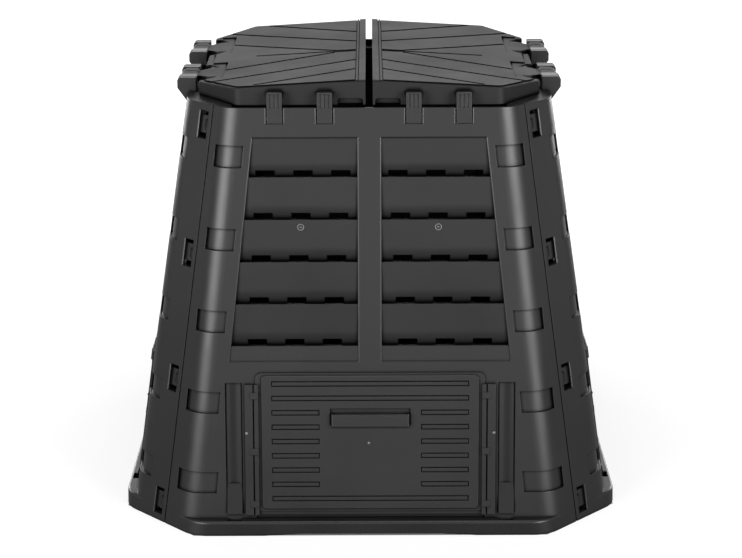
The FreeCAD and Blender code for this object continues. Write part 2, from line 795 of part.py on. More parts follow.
def front_wall():
    """Wall that faces -Y: narrow corner wings with hooked strips, and slots for the spring latches."""
    blank = corner_panels(wall_blank(True))
    blank = louvred_windows(blank)
    blank = hatch_surround(blank)
    blank = blank.fuse(both_sides(seam_strips()))
    return blank.fuse(lid_pads()).cut(latch_slots()).removeSplitter()


def side_wall():
    """Wall that faces +X: wide corner wings with clip windows, and two hinge blocks."""
    blank = corner_panels(wall_blank(False))
    blank = louvred_windows(blank)
    blank = hatch_surround(blank)
    blank = blank.cut(clip_windows())
    blank.rotate(Vec(0, 0, 0), Vec(0, 0, 1), 90)
    blocks = [hinge_block(y) for y in (-hinge_spread, hinge_spread)]
    return blank.fuse(blocks).removeSplitter()


def rounded_plate(half, low, high, radius, depth_from, depth_to):
    """Plate on the wall, symmetric about its middle, with rounded corners."""
    plate = wall_block(-half, half, low, high, depth_from, depth_to)
    corners = [e for e in plate.Edges if abs(e.Vertexes[0].Y - e.Vertexes[-1].Y) > 1.0]
    return plate.makeFillet(radius, corners)


def hatch():
    """Sliding hatch of the front wall: ribbed face, outer flange and a finger pull open at its top."""
    front = -hatch_face
    panel = rounded_plate(hatch_half, hatch_bottom, hatch_top, hatch_corner_radius, front, -hatch_back)
    rim = [e for e in panel.Edges if all(abs(v.Y - front) < 0.01 for v in e.Vertexes)]
    panel = panel.makeChamfer(hatch_bevel, rim)
    flange = rounded_plate(flange_half, hatch_bottom - hatch_flange_rise, hatch_top + hatch_flange_rise,
                           hatch_flange_radius, -hatch_back - hatch_flange_thickness, -hatch_back)
    grooves, backs = [], []
    for row in range(bar_rows):
        low = hatch_top - bar_below_top - bar_pitch * row - bar_height / 2
        full_width = row < 2 or row == bar_rows - 1
        inner = -bar_outer if full_width else bar_outer - bar_length
        bar = wall_block(inner, bar_outer, low, low + bar_height, front - 1.0, front + bar_groove_depth)
        core = wall_block(inner + bar_groove, bar_outer - bar_groove, low + bar_groove,
                          low + bar_height - bar_groove, front - 2.0, front + bar_groove_depth + 1.0)
        back = wall_block(inner - hatch_skin, bar_outer + hatch_skin, low - hatch_skin,
                          low + bar_height + hatch_skin, front, 1.0)
        grooves += [bar.cut(core)] if full_width else both_sides([bar.cut(core)])
        backs += [back] if full_width else both_sides([back])
    pull_half = handle_width / 2
    face = front - handle_reach
    scoop_half, scoop_top = pull_half + handle_scoop_side, handle_top + handle_scoop_rise
    backs.append(wall_block(-scoop_half - hatch_skin, scoop_half + hatch_skin, handle_bottom,
                            scoop_top + hatch_skin, front, 1.0))
    hollow = wall_block(-hatch_half + hatch_skin, hatch_half - hatch_skin, hatch_bottom + hatch_skin,
                        hatch_top - hatch_skin, hatch_skin + front, 1.0).cut(backs)
    pull = wall_block(-pull_half, pull_half, handle_bottom, handle_top, face,
                      front + handle_pocket_depth + 1.0)
    pull = pull.makeFillet(3.0, [e for e in pull.Edges if abs(e.Vertexes[0].Y - e.Vertexes[-1].Y) < 0.01
                                 and abs(e.Vertexes[0].Y - face) < 0.01])
    pocket = wall_block(-pull_half + handle_skin, pull_half - handle_skin, handle_bottom + handle_skin,
                        handle_top + 1.0, face + handle_skin, front + handle_pocket_depth)
    scoop = wall_block(-scoop_half, scoop_half, handle_bottom + handle_skin, scoop_top, front - 1.0,
                       front + handle_pocket_depth)
    shape = panel.cut([hollow, scoop]).fuse([flange, pull]).cut(grooves + [pocket])
    return on_wall(shape.removeSplitter())


def latch(x):
    """Spring latch of the front wall: a tongue in its slot with a head that bears on the lid's skirt."""
    half = latch_width / 2
    tongue = on_wall(wall_block(x - half, x + half, latch_root + latch_root_gap, latch_head_bottom,
                                0.0, latch_thickness))
    bearing = -(lid_front + latch_lid_gap)
    low, high = latch_head_bottom - 3.0, latch_top
    outline = [
        (-reach_at(low), low), (-reach_at(high) - 0.4, high - 1.5), (-reach_at(high) + 1.2, high),
        (bearing, high), (bearing, high - 4.0), (-reach_at(low) + latch_thickness, low),
    ]
    head = polygon_face([Vec(x - half, y, z) for y, z in outline]).extrude(Vec(latch_width, 0, 0))
    flutes = []
    for step in (-1, 0, 1):
        middle = x + step * latch_flute_spacing
        flutes.append(on_wall(wall_block(middle - latch_flute_width / 2, middle + latch_flute_width / 2,
                                         rim_height, latch_top - 3.0, -1.0, latch_flute_depth)))
    return tongue.fuse(head).cut(flutes).removeSplitter()


def lid_top(x):
    """Height of the right-hand flap's top halfway along the ridge's length, where it lies lowest."""
    return lid_height - lid_dish - lid_fall * x


def lid_slab(down_from, down_to):
    """Slab of the right-hand flap between two depths below its top, which falls sideways and is dished."""
    norm = math.hypot(1.0, lid_fall)
    outward, upward = Vec(1.0 / norm, 0, -lid_fall / norm), Vec(lid_fall / norm, 0, 1.0 / norm)
    reach = lid_front + 10.0
    rise = lid_dish * (reach / lid_front) ** 2

    def across(down):
        middle = Vec(0, 0, lid_top(0.0)) - upward * down
        ends = [middle + upward * rise + Vec(0, side * reach, 0) for side in (-1, 1)]
        return ends[0], middle, ends[1]

    high, low = across(down_from), across(down_to)
    edges = [Part.Arc(*high).toShape(), Part.LineSegment(high[2], low[2]).toShape(),
             Part.Arc(*low).toShape(), Part.LineSegment(low[0], high[0]).toShape()]
    return Part.Face(Part.Wire(Part.__sortEdges__(edges))).extrude(outward * (pin_reach * norm))


def lid_outline(inset):
    """Plan of the right-hand flap moved in by the inset, as an upright prism."""
    cut_x = lid_side - lid_front_corner
    cut_y = lid_front - lid_side_corner
    length = math.hypot(cut_x, cut_y)
    front_shift = inset * (length - cut_y) / cut_x
    side_shift = inset * (length - cut_x) / cut_y
    x_front, y_front = lid_front_corner - front_shift, lid_front - inset
    x_side, y_side = lid_side - inset, lid_side_corner - side_shift
    x_ridge = lid_half_gap + inset
    outline = [(x_ridge, -y_front), (x_front, -y_front), (x_side, -y_side),
               (x_side, y_side), (x_front, y_front), (x_ridge, y_front)]
    prism = frustum(outline, outline, skirt_bottom - 1.0, lid_height + 1.0)
    wide = [e for e in prism.Edges if is_upright(e) and abs(e.Vertexes[0].X - x_front) < 0.1]
    prism = prism.makeFillet(lid_front_corner_radius - inset, wide)
    tight = [e for e in prism.Edges if is_upright(e) and abs(e.Vertexes[0].X - x_side) < 0.1
             and abs(abs(e.Vertexes[0].Y) - y_side) < 0.1]
    return prism.makeFillet(max(lid_side_corner_radius - inset, 1.0), tight)


def is_upright(edge):
    start, end = edge.Vertexes[0].Point, edge.Vertexes[-1].Point
    return abs(start.x - end.x) < 0.01 and abs(start.y - end.y) < 0.01


def plan_prism(points, z_low, z_high):
    face = polygon_face([Vec(x, y, z_low) for x, y in points])
    return face.extrude(Vec(0, 0, z_high - z_low))


def groove_piece(start, end, low, high):
    """Straight piece of a groove in plan, with a round end where the next piece turns."""
    dx, dy = end[0] - start[0], end[1] - start[1]
    length = math.hypot(dx, dy)
    nx, ny = -dy / length * fan_groove_width / 2, dx / length * fan_groove_width / 2
    points = [(start[0] + nx, start[1] + ny), (end[0] + nx, end[1] + ny),
              (end[0] - nx, end[1] - ny), (start[0] - nx, start[1] - ny)]
    turn = Part.makeCylinder(fan_groove_width / 2, high - low, Vec(end[0], end[1], low))
    return [plan_prism(points, low, high), turn]


def fan_grooves():
    """Grooves that fan out from the ridge: one along the middle and three to each side of it."""
    start = lid_half_gap + ridge_border + ridge_channel - fan_groove_width
    low, high = skirt_bottom, lid_height + 5.0
    grooves = groove_piece((start, 0.0), (fan_middle_reach * lid_side, 0.0), low, high)
    for side in (-1, 1):
        for path in fan_paths:
            points = [(max(across * lid_side, start), side * along * lid_front) for across, along in path]
            for begin, end in zip(points, points[1:]):
                grooves += groove_piece(begin, end, low, high)
    return grooves


def raised_panel():
    """Raised face of the flap: two borders along the ridge, and the notched panel with fanned grooves."""
    high, low, beyond = lid_height + 2.0, skirt_bottom - 2.0, 2 * lid_side
    outer, inner = lid_half_gap + ridge_border, lid_half_gap + ridge_border + ridge_channel
    border = lid_outline(0.0).common(box(0.0, outer, -beyond, beyond, low, high))
    band = box(outer + ridge_groove, inner - ridge_groove, -beyond, beyond, low, high)
    band = lid_outline(lid_edge_radius).common(band)
    notches = [box(notch_reach, beyond, y - notch_half_length, y + notch_half_length, low, high)
               for y in (-hinge_spread, hinge_spread)]
    edges = [box(0.0, inner, -beyond, beyond, low, high),
             box(lid_side - side_flange, beyond, -beyond, beyond, low, high)]
    panel = lid_outline(flange_width).cut(edges + notches + fan_grooves())
    slab = lid_slab(0.0, panel_raise + 0.5)
    return [border.common(slab), band.common(slab), panel.common(slab)]


def foot_grooves():
    """Tapering grooves in the flap's plate along the outer edges of the raised panel."""
    middle = hinge_spread - notch_half_length
    tip = hinge_spread + notch_half_length
    side_edge = lid_side - side_flange
    starts = [(notch_reach, -middle), (notch_reach, tip), (side_edge, middle), (side_edge, -tip)]
    slab = lid_slab(panel_raise - 1.0, panel_raise + foot_groove_depth)
    inside = lid_outline(2 * lid_skirt)
    grooves = []
    for x, y in starts:
        points = [(x, y), (x + foot_groove_wide, y), (x + foot_groove_narrow, y - foot_groove_length),
                  (x, y - foot_groove_length)]
        grooves.append(plan_prism(points, skirt_bottom, lid_height).common(slab).common(inside))
    return grooves


def arm_side(y, side):
    """Plan of one edge of a hinge arm, from its root on the flap to the hinge block."""
    return [
        (arm_root_reach, y + side * arm_root_half),
        (lid_side - arm_shoulder, y + side * arm_shoulder_half),
        (lid_side, y + side * arm_waist_half),
        (arm_neck_reach, y + side * arm_neck_half),
    ]


def arm_clearances():
    """V-shaped openings in the flap on both sides of each hinge arm."""
    cuts = []
    for y in (-hinge_spread, hinge_spread):
        for side in (-1, 1):
            outline = arm_side(y, side) + [
                (pin_reach, y + side * arm_neck_half),
                (pin_reach, y + side * arm_notch_half),
                (lid_side - arm_shoulder, y + side * arm_notch_half),
            ]
            cuts.append(plan_prism(outline, skirt_bottom - 5.0, lid_height + 5.0))
    return cuts


def hinge_arm(y):
    """Arm from the flap to its hooked knuckle, which snaps over the pin."""
    start, end = y - knuckle_front, y + knuckle_rear
    outline = arm_side(y, -1) + [(pin_reach, y - arm_neck_half), (pin_reach, y + arm_neck_half)]
    outline += list(reversed(arm_side(y, 1)))
    arm = plan_prism(outline, skirt_bottom, lid_height)
    arm = arm.common(lid_slab(panel_raise, panel_raise + arm_thickness))
    knuckle = Part.makeCylinder(knuckle_radius, end - start, Vec(pin_reach, start, pin_height), Vec(0, 1, 0))
    crown = pin_height + knuckle_radius
    saddle = [
        Vec(block_inner, start, pin_height + block_round / 2),
        Vec(block_inner, start, crown - block_round / 2), Vec(block_inner + block_round / 2, start, crown),
        Vec(pin_reach, start, crown), Vec(pin_reach, start, pin_height),
    ]
    saddle = polygon_face(saddle).extrude(Vec(0, end - start, 0))
    bore = Part.makeCylinder(pin_radius + pin_clearance, end - start + 2.0,
                             Vec(pin_reach, start - 1.0, pin_height), Vec(0, 1, 0))
    mouth = box(pin_reach - clip_mouth / 2, pin_reach + clip_mouth / 2, start - 1.0, end + 1.0,
                pin_height - knuckle_radius - 1.0, pin_height)
    middle = y + knuckle_slot_place
    slot = box(block_inner - 1.0, pin_reach + 2 * knuckle_radius, middle - hinge_slot_width / 2,
               middle + hinge_slot_width / 2, pin_height + pin_radius + knuckle_floor, crown + 1.0)
    return arm.fuse([knuckle, saddle]).cut([bore, mouth, slot])


def finger_recess(side):
    """Arched opening in the flap's skirt that fingers lift it by."""
    low, high = skirt_bottom - finger_radius - 2.0, skirt_bottom + finger_height
    arch = box(finger_inner, finger_inner + finger_width, -lid_skirt - 1.0, lid_skirt + 1.0, low, high)
    tops = [e for e in arch.Edges if abs(e.Vertexes[0].Y - e.Vertexes[-1].Y) > 1.0
            and e.Vertexes[0].Z > skirt_bottom]
    arch = arch.makeFillet(finger_radius, tops)
    arch.translate(Vec(0, side * (lid_front - lid_skirt / 2), 0))
    return arch


def finger_pocket(side):
    """Walls behind a finger opening that keep the inside of the bin out of sight."""
    low, high = finger_inner - rib_thickness, finger_inner + finger_width + rib_thickness
    near, far = lid_front - lid_skirt / 2, lid_front - lid_skirt - finger_depth - rib_thickness
    block = box(low, high, min(side * near, side * far), max(side * near, side * far),
                skirt_bottom, lid_height)
    near, far = lid_front, lid_front - lid_skirt - finger_depth
    room = box(low + rib_thickness, high - rib_thickness, min(side * near, side * far),
               max(side * near, side * far), skirt_bottom - 1.0, lid_height)
    return block.cut(room).common(lid_slab(panel_raise + lid_plate / 2, lid_height))


def lid_ribs():
    """Grid of stiffening ribs under the flap, clear of the rim ledge."""
    ribs = []
    start, end = lid_half_gap + lid_skirt / 2, notch_reach
    outermost = (hinge_spread + lid_front) / 2
    for y in (-outermost, -hinge_spread, 0.0, hinge_spread, outermost):
        ribs.append(box(start, end, y - rib_thickness / 2, y + rib_thickness / 2, skirt_bottom, lid_height))
    reach = lid_front - lid_skirt / 2
    for x in (start + (end - start) / 3, start + (end - start) * 2 / 3, end):
        long = min(reach, lid_side_corner if x > lid_front_corner else reach)
        ribs.append(box(x - rib_thickness / 2, x + rib_thickness / 2, -long, long, skirt_bottom, lid_height))
    slab = lid_slab(panel_raise + lid_plate / 2, panel_raise + lid_plate + rib_depth)
    return ribs[0].fuse(ribs[1:]).common(slab)


def lid():
    """Right-hand lid flap with its skirt, raised face, ribs and two hinge arms."""
    outline = lid_outline(0.0)
    plate = outline.common(lid_slab(panel_raise, panel_raise + lid_plate))
    top = [f for f in plate.Faces if f.normalAt(0, 0).z > 0.9][0]
    plate = plate.makeFillet(lid_edge_radius, top.Edges)
    skirt = outline.cut(lid_outline(lid_skirt)).common(lid_slab(panel_raise + lid_plate - 0.5, lid_height))
    skirt = skirt.common(box(0, 2 * lid_side, -2 * lid_front, 2 * lid_front, skirt_bottom, lid_height))
    hinge_gaps = [box(lid_side - 2 * lid_skirt, 2 * lid_side, y - arm_notch_half, y + arm_notch_half,
                      skirt_bottom - 1.0, lid_top(lid_side) - panel_raise - lid_plate - 1.0)
                  for y in (-hinge_spread, hinge_spread)]
    skirt = skirt.cut(hinge_gaps)
    shape = plate.fuse(lid_ribs()).fuse(skirt).fuse([finger_pocket(-1), finger_pocket(1)])
    shape = shape.fuse(raised_panel()).cut(arm_clearances())
    shape = shape.cut([finger_recess(-1), finger_recess(1)])
    shape = shape.fuse([hinge_arm(y) for y in (-hinge_spread, hinge_spread)])
    bores = [Part.makeCylinder(pin_radius + pin_clearance, hinge_length,
                               Vec(pin_reach, y - hinge_length / 2, pin_height), Vec(0, 1, 0))
             for y in (-hinge_spread, hinge_spread)]
    return shape.cut(bores).cut(foot_grooves()).removeSplitter()


def mirrored(shape):
    return shape.mirror(Vec(0, 0, 0), Vec(1, 0, 0))


def turned(shape, degrees):
    shape = shape.copy()
    shape.rotate(Vec(0, 0, 0), Vec(0, 0, 1), degrees)
    return shape


front = front_wall()
save("front_wall", front)
save("rear_wall", turned(front, 180))
side = side_wall()
save("right_wall", side)
save("left_wall", mirrored(side))

front_hatch = hatch()
for hatch_name, degrees in (("front", 0), ("right", 90), ("rear", 180), ("left", 270)):
    save(hatch_name + "_hatch", turned(front_hatch, degrees))

flap = lid()
save("right_lid", flap)
save("left_lid", mirrored(flap))

for place, y in (("front", -hinge_spread), ("rear", hinge_spread)):
    pin = hinge_pin(y)
    save("right_" + place + "_hinge_pin", pin)
    save("left_" + place + "_hinge_pin", mirrored(pin))

for number, x in enumerate(latch_places, start=1):
    tongue = latch(x)
    save("front_lid_latch_" + str(number), tongue)
    save("rear_lid_latch_" + str(number), turned(tongue, 180))
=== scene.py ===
import math

import bpy
from mathutils import Matrix, Vector


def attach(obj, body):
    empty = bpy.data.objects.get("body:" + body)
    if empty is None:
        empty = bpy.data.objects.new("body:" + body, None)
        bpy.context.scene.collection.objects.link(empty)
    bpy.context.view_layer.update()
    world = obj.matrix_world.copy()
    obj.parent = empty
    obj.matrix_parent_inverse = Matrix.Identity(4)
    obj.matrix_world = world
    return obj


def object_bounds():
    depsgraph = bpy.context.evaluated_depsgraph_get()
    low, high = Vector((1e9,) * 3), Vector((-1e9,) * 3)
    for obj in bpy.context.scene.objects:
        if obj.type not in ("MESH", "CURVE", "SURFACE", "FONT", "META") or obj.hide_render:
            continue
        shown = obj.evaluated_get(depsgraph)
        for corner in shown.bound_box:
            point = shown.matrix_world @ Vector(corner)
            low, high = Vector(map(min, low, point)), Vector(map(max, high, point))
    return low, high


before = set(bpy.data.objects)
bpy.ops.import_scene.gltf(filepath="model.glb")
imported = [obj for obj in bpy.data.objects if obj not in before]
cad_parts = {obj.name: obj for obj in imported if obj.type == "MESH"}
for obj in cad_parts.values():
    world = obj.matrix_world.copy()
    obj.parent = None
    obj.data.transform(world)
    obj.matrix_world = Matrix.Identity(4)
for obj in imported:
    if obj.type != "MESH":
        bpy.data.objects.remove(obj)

cad_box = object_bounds()
scene = bpy.context.scene

# Camera: it stands 3.7 m in front of the bin and 1.5 m up, and looks 17.7 degrees down along +Y,
# as in the photograph. A shift of about a pixel each way and a small roll put the bin's foot and
# rim where the photograph has them. Lengths are in metres and angles in radians throughout.
photo_width_px = 742.0
focal_length_px = 1915.8
shift_down_px = 1.2
shift_across_px = 1.24
look_down = 0.3091
roll = 0.0035
sensor_mm = 36.0
far_clip = 60.0
camera_place = Vector((0.0, -3.6927, 1.525))

camera = bpy.data.objects.new("Camera", bpy.data.cameras.new("Camera"))
scene.collection.objects.link(camera)
camera.data.sensor_width = sensor_mm
camera.data.lens = focal_length_px / photo_width_px * sensor_mm
camera.data.clip_end = far_clip
pitch = math.radians(90.0) - look_down + shift_down_px / focal_length_px
camera.matrix_world = (Matrix.Translation(camera_place)
                       @ Matrix.Rotation(pitch, 4, "X")
                       @ Matrix.Rotation(-shift_across_px / focal_length_px, 4, "Y")
                       @ Matrix.Rotation(-roll, 4, "Z"))
scene.camera = camera
scene.view_settings.view_transform = "Standard"


# World: white to the camera, and a dim even grey as fill light for everything else.
# Reflections in the black plastic see the same grey, so the bin keeps its own dark tones.
def srgb(code):
    parts = [int(code[i:i + 2], 16) / 255.0 for i in (1, 3, 5)]
    linear = [c / 12.92 if c <= 0.04045 else ((c + 0.055) / 1.055) ** 2.4 for c in parts]
    return (*linear, 1.0)


def add_node(tree, kind, inputs=None, **settings):
    # Each input is a plain value, another node, one of its outputs, or a list of nodes to join.
    node = tree.nodes.new(kind)
    for name, value in settings.items():
        setattr(node, name, value)
    for socket, given in (inputs or {}).items():
        for value in given if isinstance(given, list) else [given]:
            if isinstance(value, bpy.types.Node):
                tree.links.new(value.outputs[0], node.inputs[socket])
            elif isinstance(value, bpy.types.NodeSocket):
                tree.links.new(value, node.inputs[socket])
            else:
                node.inputs[socket].default_value = value
    return node


white = srgb("#ffffff")
fill_strength = 0.15

world = bpy.data.worlds.new("Studio")
scene.world = world
world.use_nodes = True
tree = world.node_tree
tree.nodes.clear()
path = add_node(tree, "ShaderNodeLightPath")
fill = add_node(tree, "ShaderNodeBackground", {"Color": white, "Strength": fill_strength})
backdrop = add_node(tree, "ShaderNodeBackground", {"Color": white, "Strength": 1.0})
shown = add_node(tree, "ShaderNodeMixShader", {
    0: path.outputs["Is Camera Ray"], 1: fill, 2: backdrop})
add_node(tree, "ShaderNodeOutputWorld", {"Surface": shown})

# Floor: a matt white sheet round the bin, and bare grey sheet inside it, because it has no bottom.
# The border is an octagon that runs inside the thickness of the plinth's wall. The white is a
# little lower close by, so a faint contact shadow stays, and the grey lights the walls little.
sheet_half = 30.0
sheet_z = -0.0005
sheet_paint = srgb("#959595")
half_wall = 0.0025
hole_half = cad_box[1][0] - half_wall
chamfer_x_plus_y = 0.794
hole_x_plus_y = chamfer_x_plus_y - math.sqrt(2.0) * half_wall
near_distance, far_distance = 0.5, 1.8
near_white, far_white = 0.74, 0.95

mesh = bpy.data.meshes.new("Floor")
corners = [(sheet_half * x, sheet_half * y, sheet_z)
           for x, y in ((-1.0, -1.0), (1.0, -1.0), (1.0, 1.0), (-1.0, 1.0))]
mesh.from_pydata(corners, [], [(0, 1, 2, 3)])
floor = bpy.data.objects.new("Floor", mesh)
scene.collection.objects.link(floor)
material = bpy.data.materials.new("Matt white studio sheet")
material.use_nodes = True
tree = material.node_tree
tree.nodes.clear()
place = add_node(tree, "ShaderNodeTexCoord")
along = add_node(tree, "ShaderNodeSeparateXYZ", {0: place.outputs["Object"]})
from_x = add_node(tree, "ShaderNodeMath", {0: along.outputs["X"]}, operation="ABSOLUTE")
from_y = add_node(tree, "ShaderNodeMath", {0: along.outputs["Y"]}, operation="ABSOLUTE")
square = add_node(tree, "ShaderNodeMath", {0: from_x, 1: from_y}, operation="MAXIMUM")
both = add_node(tree, "ShaderNodeMath", {0: from_x, 1: from_y}, operation="ADD")
chamfer = add_node(tree, "ShaderNodeMath", {
    0: both, 1: hole_x_plus_y - hole_half}, operation="SUBTRACT")
distance = add_node(tree, "ShaderNodeMath", {0: square, 1: chamfer}, operation="MAXIMUM")
outside = add_node(tree, "ShaderNodeMath", {0: distance, 1: hole_half}, operation="GREATER_THAN")
whiteness = add_node(tree, "ShaderNodeMapRange", {
    "Value": distance, "From Min": near_distance, "From Max": far_distance,
    "To Min": near_white, "To Max": far_white})
path = add_node(tree, "ShaderNodeLightPath")
shown = add_node(tree, "ShaderNodeMath", {
    0: path.outputs["Is Camera Ray"], 1: outside}, operation="MULTIPLY")
strength = add_node(tree, "ShaderNodeMath", {0: shown, 1: whiteness}, operation="MULTIPLY")
glow = add_node(tree, "ShaderNodeEmission", {"Color": white, "Strength": strength})
paint = add_node(tree, "ShaderNodeBsdfDiffuse", {"Color": sheet_paint})
whole = add_node(tree, "ShaderNodeAddShader", {0: paint, 1: glow})
add_node(tree, "ShaderNodeOutputMaterial", {"Surface": whole})
mesh.materials.append(material)


# Lights: a weak low soft box square to each side of the bin, which lights the panels evenly, and a
# strong one off each corner, which draws the bright bands down the rounded corners. One high
# behind the bin and one overhead light the lid and the top edges. Powers are in watts.
def soft_box(name, place, aim_height, width, height, power):
    data = bpy.data.lights.new(name, "AREA")
    data.shape = "RECTANGLE"
    data.size = width
    data.size_y = height
    data.energy = power
    lamp = bpy.data.objects.new(name, data)
    scene.collection.objects.link(lamp)
    lamp.location = place
    aim = Vector((0.0, 0.0, aim_height))
    lamp.rotation_euler = (aim - Vector(place)).to_track_quat("-Z", "Y").to_euler()


soft_box("Front soft box", (0.0, -5.6, 0.9), 0.5, width=2.6, height=1.8, power=26.0)
soft_box("Low rear soft box", (0.0, 5.6, 0.9), 0.5, width=2.6, height=1.8, power=23.0)
soft_box("High rear soft box", (0.0, 4.2, 2.4), 0.6, width=3.6, height=2.0, power=36.0)
soft_box("Overhead soft box", (0.0, -0.8, 3.6), 0.6, width=2.6, height=1.6, power=38.0)
for hand, x in (("left", -3.0), ("right", 3.0)):
    soft_box("Front " + hand + " soft box", (x, -3.7, 1.3), 0.6, width=2.0, height=1.9, power=170.0)
    soft_box("Rear " + hand + " soft box", (x, 3.7, 1.1), 0.6, width=2.0, height=1.9, power=95.0)
for hand, x in (("left", -5.6), ("right", 5.6)):
    soft_box("Low " + hand + " soft box", (x, 0.0, 0.9), 0.5, width=2.6, height=1.8, power=14.0)


# Walls: four panels of black polypropylene, injection moulded and clipped together at the chamfers.
# Spark-eroded steel leaves them satin, with a fine grain and faint flow clouds. Rounded edges catch
# a little light. Creases and recesses get painted shade. The peg sleeves are rougher than the rest
# and get painted shade as well, a darker colour and weaker specular for their sunk faces.
sleeve_from_middle, sleeve_half_width = 0.2505, 0.0155
sleeve_mid_height, sleeve_half_height = 0.155, 0.125
sleeve_added_roughness = 0.1


def peg_sleeves(tree, place):
    # The mask is 1 on the sleeves of all four walls and 0 elsewhere.
    along = add_node(tree, "ShaderNodeSeparateXYZ", {0: place})
    from_x = add_node(tree, "ShaderNodeMath", {0: along.outputs["X"]}, operation="ABSOLUTE")
    from_y = add_node(tree, "ShaderNodeMath", {0: along.outputs["Y"]}, operation="ABSOLUTE")
    across = add_node(tree, "ShaderNodeMath", {0: from_x, 1: from_y}, operation="MINIMUM")
    in_width = add_node(tree, "ShaderNodeMath", {
        0: across, 1: sleeve_from_middle, 2: sleeve_half_width}, operation="COMPARE")
    in_height = add_node(tree, "ShaderNodeMath", {
        0: along.outputs["Z"], 1: sleeve_mid_height, 2: sleeve_half_height}, operation="COMPARE")
    return add_node(tree, "ShaderNodeMath", {0: in_width, 1: in_height}, operation="MULTIPLY")


def moulded_plastic(name, dark, light, rough, grain_mm, grain_depth_mm, edge_mm, painted_shade_mm,
                    painted_shade_from, specular=0.5, sleeve_painted_shade=None):
    # The real grain is a few tenths of a millimetre wide. It is drawn coarser, at about a
    # millimetre, so that it shows. Creases and recesses get painted shade from ambient occlusion:
    # colour and specular are darkest where painted_shade_from or less of the space within
    # painted_shade_mm is open.
    cloud_mm = 143.0
    cloud_from, cloud_to = 0.3, 0.7
    rough_from, rough_to = rough - 0.04, rough + 0.05
    painted_shade_darkest, painted_shade_to = 0.15, 0.95
    # A Mix node's colour sockets go by their numbers, because its other kinds share their names.
    factor, first, second, mixed = 0, 6, 7, 2

    material = bpy.data.materials.new(name)
    material.use_nodes = True
    tree = material.node_tree
    tree.nodes.clear()
    place = add_node(tree, "ShaderNodeTexCoord").outputs["Object"]
    clouds = add_node(tree, "ShaderNodeTexNoise", {
        "Vector": place, "Scale": 1000.0 / cloud_mm, "Detail": 4.0, "Roughness": 0.6})
    grain = add_node(tree, "ShaderNodeTexNoise", {
        "Vector": place, "Scale": 1000.0 / grain_mm, "Detail": 2.0, "Roughness": 0.5})
    colour = add_node(tree, "ShaderNodeMix", {
        factor: clouds, first: srgb(dark), second: srgb(light)}, data_type="RGBA")
    roughness = add_node(tree, "ShaderNodeMapRange", {
        "Value": clouds, "From Min": cloud_from, "From Max": cloud_to,
        "To Min": rough_from, "To Max": rough_to})
    sheen = specular
    # Painted shade on the peg sleeves: colour and specular level are multiplied by
    # sleeve_painted_shade, and the roughness rises for real.
    if sleeve_painted_shade is not None:
        sleeve = peg_sleeves(tree, place)
        colour = add_node(tree, "ShaderNodeMix", {
            factor: sleeve, first: colour.outputs[mixed], second: (sleeve_painted_shade,) * 3 + (1.0,)},
            data_type="RGBA", blend_type="MULTIPLY")
        roughness = add_node(tree, "ShaderNodeMath", {
            0: sleeve, 1: sleeve_added_roughness, 2: roughness}, operation="MULTIPLY_ADD")
        sheen = add_node(tree, "ShaderNodeMath", {
            0: sleeve, 1: (sleeve_painted_shade - 1.0) * specular, 2: specular}, operation="MULTIPLY_ADD")
    # Painted shade: ambient occlusion darkens the colour and the specular level in creases and
    # recesses.
    painted_shade_occlusion = add_node(tree, "ShaderNodeAmbientOcclusion", {
        "Distance": painted_shade_mm / 1000.0}, samples=8)
    shade = add_node(tree, "ShaderNodeMapRange", {
        "Value": painted_shade_occlusion.outputs["AO"], "From Min": painted_shade_from, "From Max": painted_shade_to,
        "To Min": painted_shade_darkest, "To Max": 1.0})
    shaded = add_node(tree, "ShaderNodeMix", {
        factor: 1.0, first: colour.outputs[mixed], second: shade},
        data_type="RGBA", blend_type="MULTIPLY")
    sheen_with_painted_shade = add_node(tree, "ShaderNodeMath", {0: shade, 1: sheen}, operation="MULTIPLY")
    edge = add_node(tree, "ShaderNodeBevel", {"Radius": edge_mm / 1000.0}, samples=6)
    bump = add_node(tree, "ShaderNodeBump", {
        "Height": grain, "Normal": edge, "Strength": 0.6, "Distance": grain_depth_mm / 1000.0})
    shader = add_node(tree, "ShaderNodeBsdfPrincipled", {
        "Base Color": shaded.outputs[mixed], "Roughness": roughness,
        "Specular IOR Level": sheen_with_painted_shade, "Normal": bump})
    add_node(tree, "ShaderNodeOutputMaterial", {"Surface": shader})
    return material


def dress(names, material):
    for name in names:
        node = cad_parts[name]
        node.data.materials.clear()
        node.data.materials.append(material)


sides = ("front", "right", "rear", "left")
wall_plastic = moulded_plastic(
    "Black moulded polypropylene", "#131313", "#191919", rough=0.38, grain_mm=1.2,
    grain_depth_mm=0.05, edge_mm=1.5, painted_shade_mm=7.0, painted_shade_from=0.4, sleeve_painted_shade=0.6)
dress([side + "_wall" for side in sides], wall_plastic)

# Hatches: a ribbed plate in each wall, which slides up between the rails to let the compost out.
# They come from the same black polypropylene as the walls, and have the same satin face.
dress([side + "_hatch" for side in sides], wall_plastic)

# Lid latches: springy tongues at the top of the front and rear walls, cut free of them by slits.
# They are moulded in one with the wall, so they have its plastic and its finish.
dress([end + "_lid_latch_" + str(i) for end in ("front", "rear") for i in (1, 2, 3, 4)],
      wall_plastic)

# Lid flaps: two mouldings of black polypropylene that meet along a ridge in the middle.
# Their tool was textured more deeply than the walls', so they look duller and grainier.
lid_plastic = moulded_plastic(
    "Grained black polypropylene", "#141414", "#1b1b1b", rough=0.58, grain_mm=0.9,
    grain_depth_mm=0.08, edge_mm=1.5, painted_shade_mm=9.0, painted_shade_from=0.68, specular=0.34)
dress(("left_lid", "right_lid"), lid_plastic)

# Hinge pins: plain rods of black polyamide, pressed through the blocks at the tops of the side
# walls. They come out of a polished tool, so they are smoother and shinier than the rest.
pin_plastic = moulded_plastic(
    "Smooth black polyamide", "#141414", "#181818", rough=0.3, grain_mm=0.6,
    grain_depth_mm=0.02, edge_mm=0.6, painted_shade_mm=5.0, painted_shade_from=0.4)
dress([hand + end for hand in ("left_", "right_") for end in ("front_hinge_pin", "rear_hinge_pin")],
      pin_plastic)
